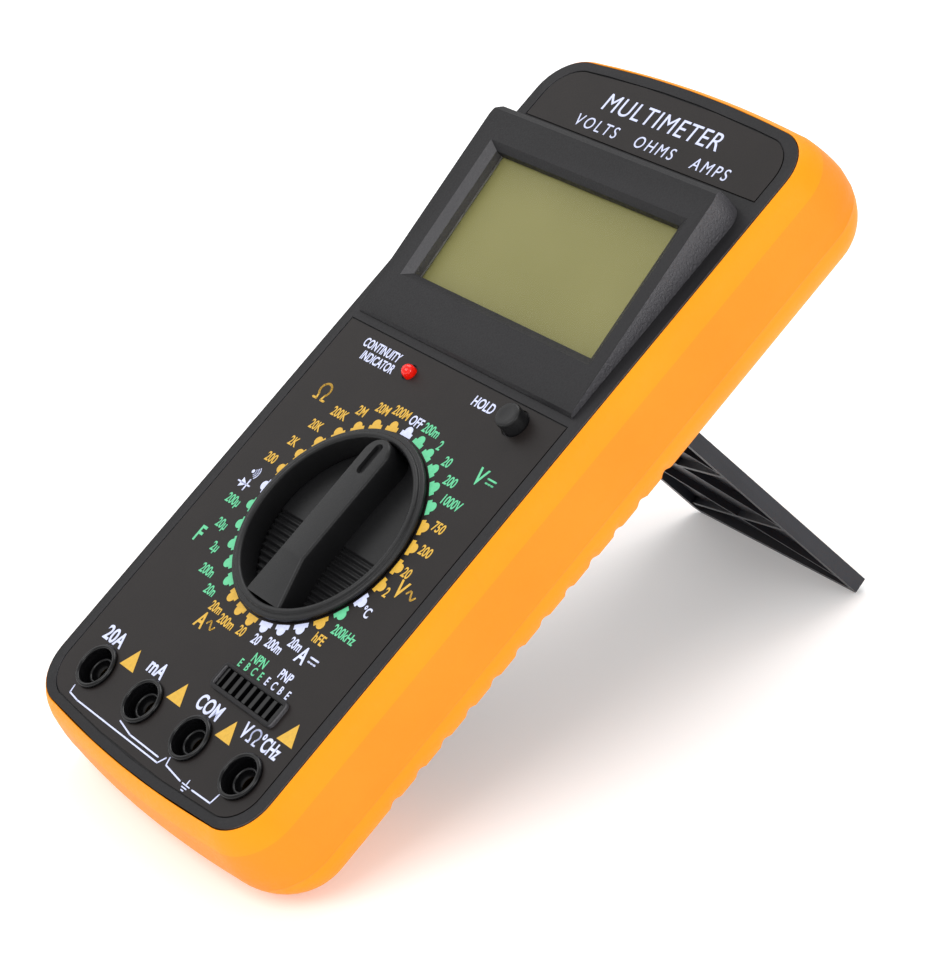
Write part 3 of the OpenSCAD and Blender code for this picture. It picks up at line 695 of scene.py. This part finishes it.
def rim():
    """The knob's raised rim and its underside."""
    profile = [
        (DISH_R, DISH_Z - 0.6), (DISH_R, 1.2), (DISH_R + 0.12, 1.6), (DISH_R + 0.4, 1.85),
        (DISH_R + 0.8, 1.92),
        (DISH_R + 1.15, 1.86), (DISH_R + 1.35, 1.7), (DISH_R + 1.42, 1.45), (DISH_R + 1.5, 1.3),
        (DISH_R + 1.7, 1.28), (DIAL_R - 0.5, 1.28), (DIAL_R - 0.2, 1.2), (DIAL_R - 0.04, 1.0),
        (DIAL_R, 0.75), (DIAL_R, 0.3), (21.5, 0.3), (21.5, -4.8), (5, -4.8)]
    return lathe(profile, (0, 0), 160, cap_last=False)


def grip_section(y, half_w, top):
    """Half-round-cornered section across the bar at y."""
    corner = min(0.75, half_w * 0.9)
    base = DISH_Z - 0.4
    left = [(-half_w - 0.25, base), (-half_w, top - corner - 1.0)]
    for i in range(6):
        a = math.radians(90 * i / 5)
        left.append((-half_w + corner * (1 - math.cos(a)), top - corner + corner * math.sin(a)))
    right = [(-x, z) for x, z in reversed(left)]
    return [(x, y, z) for x, z in left + right]


def grip_bar():
    """The finger bar: a round nose, an even middle and a tail that widens and drops."""
    nose_y, nose_r = 16.5, 3.9
    waist_y, flare_y, tail_y = -8.8, -9.8, -19.3
    steps = 6
    rings = []
    for i in range(12):
        a = math.radians(90 * i / 12)
        half = max(0.25, nose_r * math.sin(a))
        drop = 0.5 * (1 - math.sin(a)) ** 2
        rings.append(grip_section(nose_y + nose_r * math.cos(a), half, GRIP_Z - drop))
    for y in (nose_y, 12, 6, 0, -5, -8.4):
        rings.append(grip_section(y, nose_r, GRIP_Z))
    for i in range(1, steps + 1):
        t = i / steps
        y = waist_y + (flare_y - waist_y) * t
        rings.append(grip_section(y, nose_r + 0.17 * t, GRIP_Z - 0.12 * t * t))
    for i in range(1, steps + 1):
        t = i / steps
        y = flare_y + (tail_y - flare_y) * t
        rings.append(grip_section(y, 4.07 + 2.0 * t, GRIP_Z - 0.12 - 1.45 * t))
    # The end follows the dish's circle
    end_r = DISH_R + 0.15
    rings.append([(x, -math.sqrt(end_r ** 2 - x * x), z - 0.08) for x, _, z in rings[-1]])
    return bridge(rings, closed=False, first_cap=True, last_cap=True)


def slot_cutter():
    """A tapered plug of the pointer's slot, cut into the top of the bar."""
    middle_y = 15.3
    levels = ((GRIP_Z + 1, 1.08), (GRIP_Z - 0.15, 1.0), (GRIP_Z - 0.9, 0.9))
    rings = [[(x * s, middle_y + (y - middle_y) * s, z) for x, y in slot_outline()] for z, s in levels]
    return bridge(rings, first_cap=True, last_cap=True)


def add_selector(paint, dish_shade_paint):
    bar = face_mesh("selector_grip", *at_dial(*grip_bar()))
    piece = link_piece("selector_grip", bar, paint, "selector")
    cutter = bpy.data.objects.new("cutter", face_mesh("cutter", *at_dial(*slot_cutter())))
    bpy.context.scene.collection.objects.link(cutter)
    cut = piece.modifiers.new("slot", "BOOLEAN")
    cut.object = cutter
    cut.solver = "EXACT"
    apply_modifiers(piece)
    piece.data.materials.clear()
    piece.data.materials.append(paint.material)
    bpy.data.objects.remove(cutter)
    smooth_by_angle(piece.data, 40)
    dish = face_mesh("selector_dish", *at_dial(*dish_floor()))
    link_piece("selector_dish", dish, dish_shade_paint, "selector")
    ring = face_mesh("selector_rim", *at_dial(*rim()))
    link_piece("selector_rim", ring, paint, "selector", ("selector_knob",))


def slot_outline():
    """Outline of the pointer's slot, as (x, y)."""
    r, y0, y1 = 1.15, 12.7, 17.9
    points = []
    for start, y in ((0, y1), (180, y0)):
        for i in range(13):
            a = math.radians(start + 180 * i / 12)
            points.append((r * math.cos(a), y + r * math.sin(a)))
    return points


def smooth_by_angle(mesh, degrees):
    for polygon in mesh.polygons:
        polygon.use_smooth = True
    mesh.set_sharp_from_angle(angle=math.radians(degrees))


# ---- Small turned pieces -----------------------------------------------------------------

def add_shrouds(paint):
    """Insulating sleeve of each socket: collar, deep ring and central boss."""
    profile = [
        (4.75, -9.5), (4.75, 0.05), (5.15, 0.05), (5.15, 0.45), (5.05, 0.72), (4.82, 0.88), (4.55, 0.9),
        (4.3, 0.82), (4.16, 0.6), (4.12, 0.2), (4.1, -7.4), (3.9, -7.6), (3.35, -7.6), (3.2, -7.4),
        (3.2, -1.8), (3.13, -1.55), (2.98, -1.38), (2.8, -1.3), (2.6, -1.33), (2.44, -1.45), (2.37, -1.7),
        (2.35, -3.3), (2.02, -3.32), (2.02, -3.38), (2.65, -3.4), (2.65, -9.5)]
    parts = [lathe(profile, at, 72, cap_last=False) for at in JACKS]
    mesh = face_mesh("socket_shrouds", *merge(parts))
    link_piece("socket_shrouds", mesh, paint, "meter", ("jack_shrouds",))


def socket_ring(inset, z):
    """Outline of the transistor socket, drawn in by inset."""
    half_w, half_h, corner = 11.5 - inset, 3.1 - inset, 1.4 - inset
    y_range = (HFE_AT[1] - half_h, HFE_AT[1] + half_h)
    outline = plate_outline(half_w, y_range, corner, 0, arc=6, end=2, side=2)
    return [(HFE_AT[0] + x, y, z) for x, y in outline]


def cuboid(low, high):
    """Points and faces of a box from its lowest to its highest corner."""
    x0, y0, z0 = low
    x1, y1, z1 = high
    rings = [[(x0, y0, z), (x1, y0, z), (x1, y1, z), (x0, y1, z)] for z in (z0, z1)]
    return bridge(rings, first_cap=True, last_cap=True)


def add_transistor_socket(paint, gloss):
    """Eight slots between ribs, inside a raised rim with rounded corners."""
    x, y = HFE_AT
    section = [
        (0, -0.3), (0, 0.6), (0.1, 0.82), (0.3, 0.9), (0.7, 0.9), (0.88, 0.82), (0.95, 0.6), (1.0, -5.5)]
    rings = [socket_ring(inset, z) for inset, z in section]
    rim_mesh = face_mesh("transistor_rim", *bridge(rings, last_cap=True))
    link_piece("transistor_rim", rim_mesh, paint, "meter", ("transistor_socket",))
    smooth_by_angle(rim_mesh, 60)
    rib_half, rib_reach = 0.55, 2.05
    ribs = []
    for k in range(-4, 5):
        rib_x = x + k * HFE_PITCH
        ribs.append(cuboid((rib_x - rib_half, y - rib_reach, -5), (rib_x + rib_half, y + rib_reach, 0.3)))
    rib_mesh = face_mesh("transistor_ribs", *merge(ribs), smooth=False)
    link_piece("transistor_ribs", rib_mesh, gloss, "meter")


def add_hold_button(paint):
    """Round cap with a shallow dish, on its flange and stem."""
    profile = [
        (1.5, -7.6), (1.5, -3.6), (3.8, -3.6), (3.8, -2.25), (2.9, -2.25), (2.9, 2.9), (2.82, 3.2),
        (2.62, 3.4), (2.3, 3.48), (1.6, 3.4), (0.9, 3.33), (0.3, 3.3), (0.05, 3.3)]
    mesh = face_mesh("hold_cap", *lathe(profile, HOLD_AT, 64, cap_first=True))
    link_piece("hold_cap", mesh, paint, "hold_key", ("hold_button",))
    smooth_by_angle(mesh, 50)


def add_led(paint):
    """Round lamp with a domed top and a flange below."""
    r, dome_z = 1.5, 0.5
    profile = [(1.9, -6), (1.9, -5), (r, -5), (r, dome_z)]
    for degrees in range(10, 90, 10):
        a = math.radians(degrees)
        profile.append((r * math.cos(a), dome_z + r * math.sin(a)))
    profile.append((0.02, 2.0))
    mesh = face_mesh("led_dome", *lathe(profile, LED_AT, 48, cap_first=True))
    link_piece("led_dome", mesh, paint, "meter", ("continuity_led",))


# ---- Legend ----------------------------------------------------------------------------

# Bottom and top of the ink; its bottom lies just inside the panel
INK_Z = (-0.02, 0.035)


class Legend:
    """Printed shapes of one colour, gathered into a single piece."""

    def __init__(self, name, paint):
        self.name = name
        self.paint = paint
        self.parts = []

    def shape(self, outline):
        """Filled outline, drawn about the middle line."""
        low = [(x, y, INK_Z[0]) for x, y in outline]
        high = [(x, y, INK_Z[1]) for x, y in outline]
        self.parts.append(bridge([low, high], last_cap=True))

    def stroke(self, points, width):
        """Line of even width through points."""
        for (x0, y0), (x1, y1) in zip(points, points[1:]):
            length = math.hypot(x1 - x0, y1 - y0) or 1
            nx, ny = (y0 - y1) / length * width / 2, (x1 - x0) / length * width / 2
            self.shape([(x0 + nx, y0 + ny), (x1 + nx, y1 + ny), (x1 - nx, y1 - ny), (x0 - nx, y0 - ny)])
        for x, y in points:
            self.dot(x, y, width / 2, 12)

    def dot(self, x, y, r, steps=32):
        self.shape([
            (x + r * math.cos(2 * math.pi * i / steps), y + r * math.sin(2 * math.pi * i / steps))
            for i in range(steps)])

    def text(self, words, centre, height, narrow=0.82, bold=0.02, spacing=1.0):
        """Plain lettering with capitals of that height, centred."""
        curve = bpy.data.curves.new("letters", "FONT")
        curve.body = words
        curve.offset = bold
        curve.extrude = 0.01
        curve.space_character = spacing
        curve.resolution_u = 6
        holder = bpy.data.objects.new("letters", curve)
        bpy.context.scene.collection.objects.link(holder)
        bpy.context.view_layer.update()
        graph = bpy.context.evaluated_depsgraph_get()
        mesh = bpy.data.meshes.new_from_object(holder.evaluated_get(graph))
        scale = height / CAP_HEIGHT
        xs = [v.co.x for v in mesh.vertices]
        mid = (min(xs) + max(xs)) / 2
        top = max(v.co.z for v in mesh.vertices)
        points = []
        for v in mesh.vertices:
            z = INK_Z[1] if v.co.z > top / 2 else INK_Z[0]
            points.append((centre[0] + (v.co.x - mid) * scale * narrow,
                           centre[1] + (v.co.y - CAP_HEIGHT / 2) * scale, z))
        self.parts.append((points, [tuple(p.vertices) for p in mesh.polygons]))
        bpy.data.objects.remove(holder)

    def finish(self):
        mesh = face_mesh(self.name, *merge(self.parts), smooth=False)
        link_piece(self.name, mesh, self.paint, "meter")


# Height of a capital in lettering of size 1
CAP_HEIGHT = 0.70

# What is printed at each selector position, clockwise from the top
DIAL_LABELS = [
    ("OFF", "white"), ("200m", "green"), ("2", "green"), ("20", "green"), ("200", "green"),
    ("1000V", "green"), ("750", "gold"), ("200", "gold"), ("20", "gold"), ("2", "gold"),
    ("°C", "white"), ("200kHz", "green"),
    ("hFE", "gold"), ("20m", "white"), ("200m", "white"), ("20", "white"), ("20", "gold"), ("200m", "gold"),
    ("20m", "gold"), ("20n", "green"), ("200n", "green"), ("2µ", "green"), ("20µ", "green"),
    ("200µ", "green"), ("", "white"), ("200", "gold"), ("2K", "gold"), ("20K", "gold"), ("200K", "gold"),
    ("2M", "gold"), ("20M", "gold"), ("200M", "gold")]


def pointer_mark(angle):
    """Mark beside one selector position: a base along the rim and a round bump outward."""
    half, inner, shoulder, bump = 1.75, DIAL_R + 0.4, 1.1, 1.12
    outline = [(-half, inner), (half, inner), (half, inner + shoulder), (bump, inner + shoulder)]
    for i in range(9):
        a = math.radians(180 * i / 8)
        outline.append((bump * math.cos(a), inner + shoulder + 0.25 + bump * math.sin(a)))
    outline += [(-bump, inner + shoulder), (-half, inner + shoulder)]
    c, s = math.cos(-angle), math.sin(-angle)
    return [(DIAL_X + x * c - y * s, x * s + y * c) for x, y in outline]


def add_dial_legend(legends):
    """Prints each position's mark, and its words beyond it clear of the mark."""
    height = 2.2
    for k, (words, colour) in enumerate(DIAL_LABELS):
        angle = 2 * math.pi * k / POSITIONS
        legends[colour].shape(pointer_mark(angle))
        if not words:
            continue
        width = 1.3 * len(words)
        # The left half of the legend stands further out
        spread = 1.4 * max(0, -math.sin(angle))
        reach = 26.4 + spread + 0.5 * (width * abs(math.sin(angle)) + height * abs(math.cos(angle)))
        centre = (DIAL_X + reach * math.sin(angle), reach * math.cos(angle))
        legends[colour].text(words, centre, height, 0.76)


def ohm(legend, centre, size):
    """Capital omega."""
    x, y = centre
    arc = []
    for i in range(25):
        a = math.radians(-50 + 280 * i / 24)
        arc.append((x + 0.42 * size * math.cos(a), y + 0.12 * size + 0.4 * size * math.sin(a)))
    feet_y = y - 0.48 * size
    line = [(x + 0.5 * size, feet_y), (x + 0.2 * size, feet_y)] + arc
    line += [(x - 0.2 * size, feet_y), (x - 0.5 * size, feet_y)]
    legend.stroke(line, 0.13 * size)


def wave(legend, x, y, width, height, stroke):
    """One period of a wave: alternating current."""
    points = []
    for i in range(17):
        t = i / 16
        points.append((x + width * (t - 0.5), y + height * math.sin(2 * math.pi * t)))
    legend.stroke(points, stroke)


def direct(legend, x, y, width, stroke):
    """A line over three dashes: direct current."""
    legend.stroke([(x - width / 2, y + 0.55), (x + width / 2, y + 0.55)], stroke)
    for k in (-1, 0, 1):
        dash_x = x + k * width * 0.36
        legend.stroke([(dash_x - 0.22, y - 0.45), (dash_x + 0.22, y - 0.45)], stroke)


def add_unit_legend(legends):
    white, gold, green = legends["white"], legends["gold"], legends["green"]
    ohm(gold, (-28.7, 23.6), 4)
    green.text("F", (-29.8, -15.7), 3.8)
    green.text("V", (27.6, 24), 3.8)
    direct(green, 31.2, 23.8, 2.6, 0.4)
    gold.text("V", (30.9, -3.3), 3.8)
    wave(gold, 34.4, -3.4, 2.8, 0.8, 0.42)
    white.text("A", (21, -24.6), 3.6)
    direct(white, 24.6, -24.6, 2.6, 0.4)
    gold.text("A", (-10.6, -30.2), 3.6)
    wave(gold, -7.2, -30.2, 2.8, 0.8, 0.42)
    diode_and_sound(white, -28.7, -0.6)
    white.text("CONTINUITY", (-22.6, 37.6), 2.1, 0.72)
    white.text("INDICATOR", (-21.2, 34.8), 2.1, 0.72)
    white.text("HOLD", (14.4, 37.2), 2.3, 0.78)


def diode_and_sound(legend, x, y):
    """Diode symbol below a dot with three arcs of sound."""
    legend.shape([(x - 1.9, y - 2.5), (x - 1.9, y - 0.1), (x + 0.1, y - 1.3)])
    legend.stroke([(x + 0.3, y - 2.6), (x + 0.3, y)], 0.42)
    legend.stroke([(x - 2.9, y - 1.3), (x + 1.4, y - 1.3)], 0.36)
    legend.dot(x - 0.9, y + 1.9, 0.45, 16)
    for r in (1.1, 1.75, 2.4):
        points = []
        for i in range(9):
            a = math.radians(-42 + 84 * i / 8)
            points.append((x - 0.9 + r * math.cos(a) * 0.9, y + 1.9 + r * math.sin(a) * 0.8))
        legend.stroke(points, 0.3)


# Middles of the plain triangles between the sockets, and the lines that tie the sockets together
GOLD_MARKS = [(-19.4, -45.1), (-0.6, -44.9), (18.6, -45.1), (33.4, -38.5)]
SOCKET_LINES = [
    [(-28.9, -56.3), (-28.6, -58), (-25, -58.4), (7.8, -58.3), (9, -56.5)],
    [(-9.7, -56.3), (-4.4, -57.3), (6.9, -57.3)],
    [(9.9, -56), (10.4, -57.6), (16.8, -58.3)],
    [(21.3, -58.3), (27.9, -58.1), (28.4, -55.8)]]


def add_socket_legend(legends):
    white, gold, green = legends["white"], legends["gold"], legends["green"]
    white.text("20A", (-28.9, -43.3), 3.3, 0.92, 0.025)
    white.text("mA", (-11.2, -43.4), 3.3, 0.86, 0.025)
    white.text("COM", (9.3, -43.4), 3.3, 0.78, 0.025)
    white.text("V", (22.4, -42.8), 3.3, 0.78, 0.025)
    ohm(white, (25.6, -42.9), 3.1)
    white.text("°CHz", (31, -42.8), 3.1, 0.7, 0.025)
    for x, y in GOLD_MARKS:
        gold.shape([(x - 2.7, y - 2.1), (x + 2.7, y - 2.1), (x, y + 2.6)])
    for line in SOCKET_LINES:
        white.stroke(line, 0.34)
    ground(white, 19, -58.3)
    green.text("NPN", (12, -30.3), 2.1, 0.78)
    white.text("PNP", (21.2, -29.9), 2.1, 0.78)
    for k, letter in enumerate("EBCEECBE"):
        colour = "green" if k < 4 else "white"
        legends[colour].text(letter, (HFE_AT[0] + (k - 3.5) * HFE_PITCH, -32.7), 1.8, 0.78)


def ground(legend, x, y):
    """Earth symbol: a stem and three bars that shorten downward."""
    legend.stroke([(x, y + 1.2), (x, y)], 0.3)
    for k, half in enumerate((1.3, 0.85, 0.4)):
        legend.stroke([(x - half, y - 0.6 * k), (x + half, y - 0.6 * k)], 0.26)


def add_title(legends):
    white = legends["white"]
    white.text("MULTIMETER", (0.1, 109), 4.4, narrow=0.98, bold=0, spacing=1.1)
    white.text("VOLTS   OHMS   AMPS", (1.9, 102.8), 2.9, narrow=0.95, bold=0, spacing=1.33)


# ---- Assembly ------------------------------------------------------------------------------

# CAD nodes whose sharp edges are rounded: radius in millimetres, and material slot
SOFTENED = {
    "front_case": (0.45, "case"),
    "rear_case": (0.4, "case"),
    "battery_door": (0.3, "case"),
    "panel_label": (0.06, "label"),
    "title_label": (0.06, "label"),
    "kickstand": (0.4, "stand_black"),
}


def add_all():
    palette = make_palette()
    slots = {part["node"]: part["material_slot"] for part in frame["record"]["subparts"]}
    for node, piece in frame["nodes"].items():
        name = {"rubber": "holster"}.get(slots[node], slots[node])
        piece.data.materials.clear()
        piece.data.materials.append(palette[name].material)
        for polygon in piece.data.polygons:
            polygon.material_index = 0
    for node, (width, slot) in SOFTENED.items():
        softened(node, width, palette[slot])
    add_holster(palette["holster"], palette["holster_lip"])
    add_selector(palette["knob"], palette["recess"])
    add_shrouds(palette["black_gloss"])
    add_transistor_socket(palette["case"], palette["black_gloss"])
    add_hold_button(palette["knob"])
    add_led(palette["led_red"])
    legends = {c: Legend("legend_" + c, palette["ink_" + c]) for c in ("white", "gold", "green")}
    add_dial_legend(legends)
    add_unit_legend(legends)
    add_socket_legend(legends)
    add_title(legends)
    for legend in legends.values():
        legend.finish()


add_camera()
add_stage()
add_all()
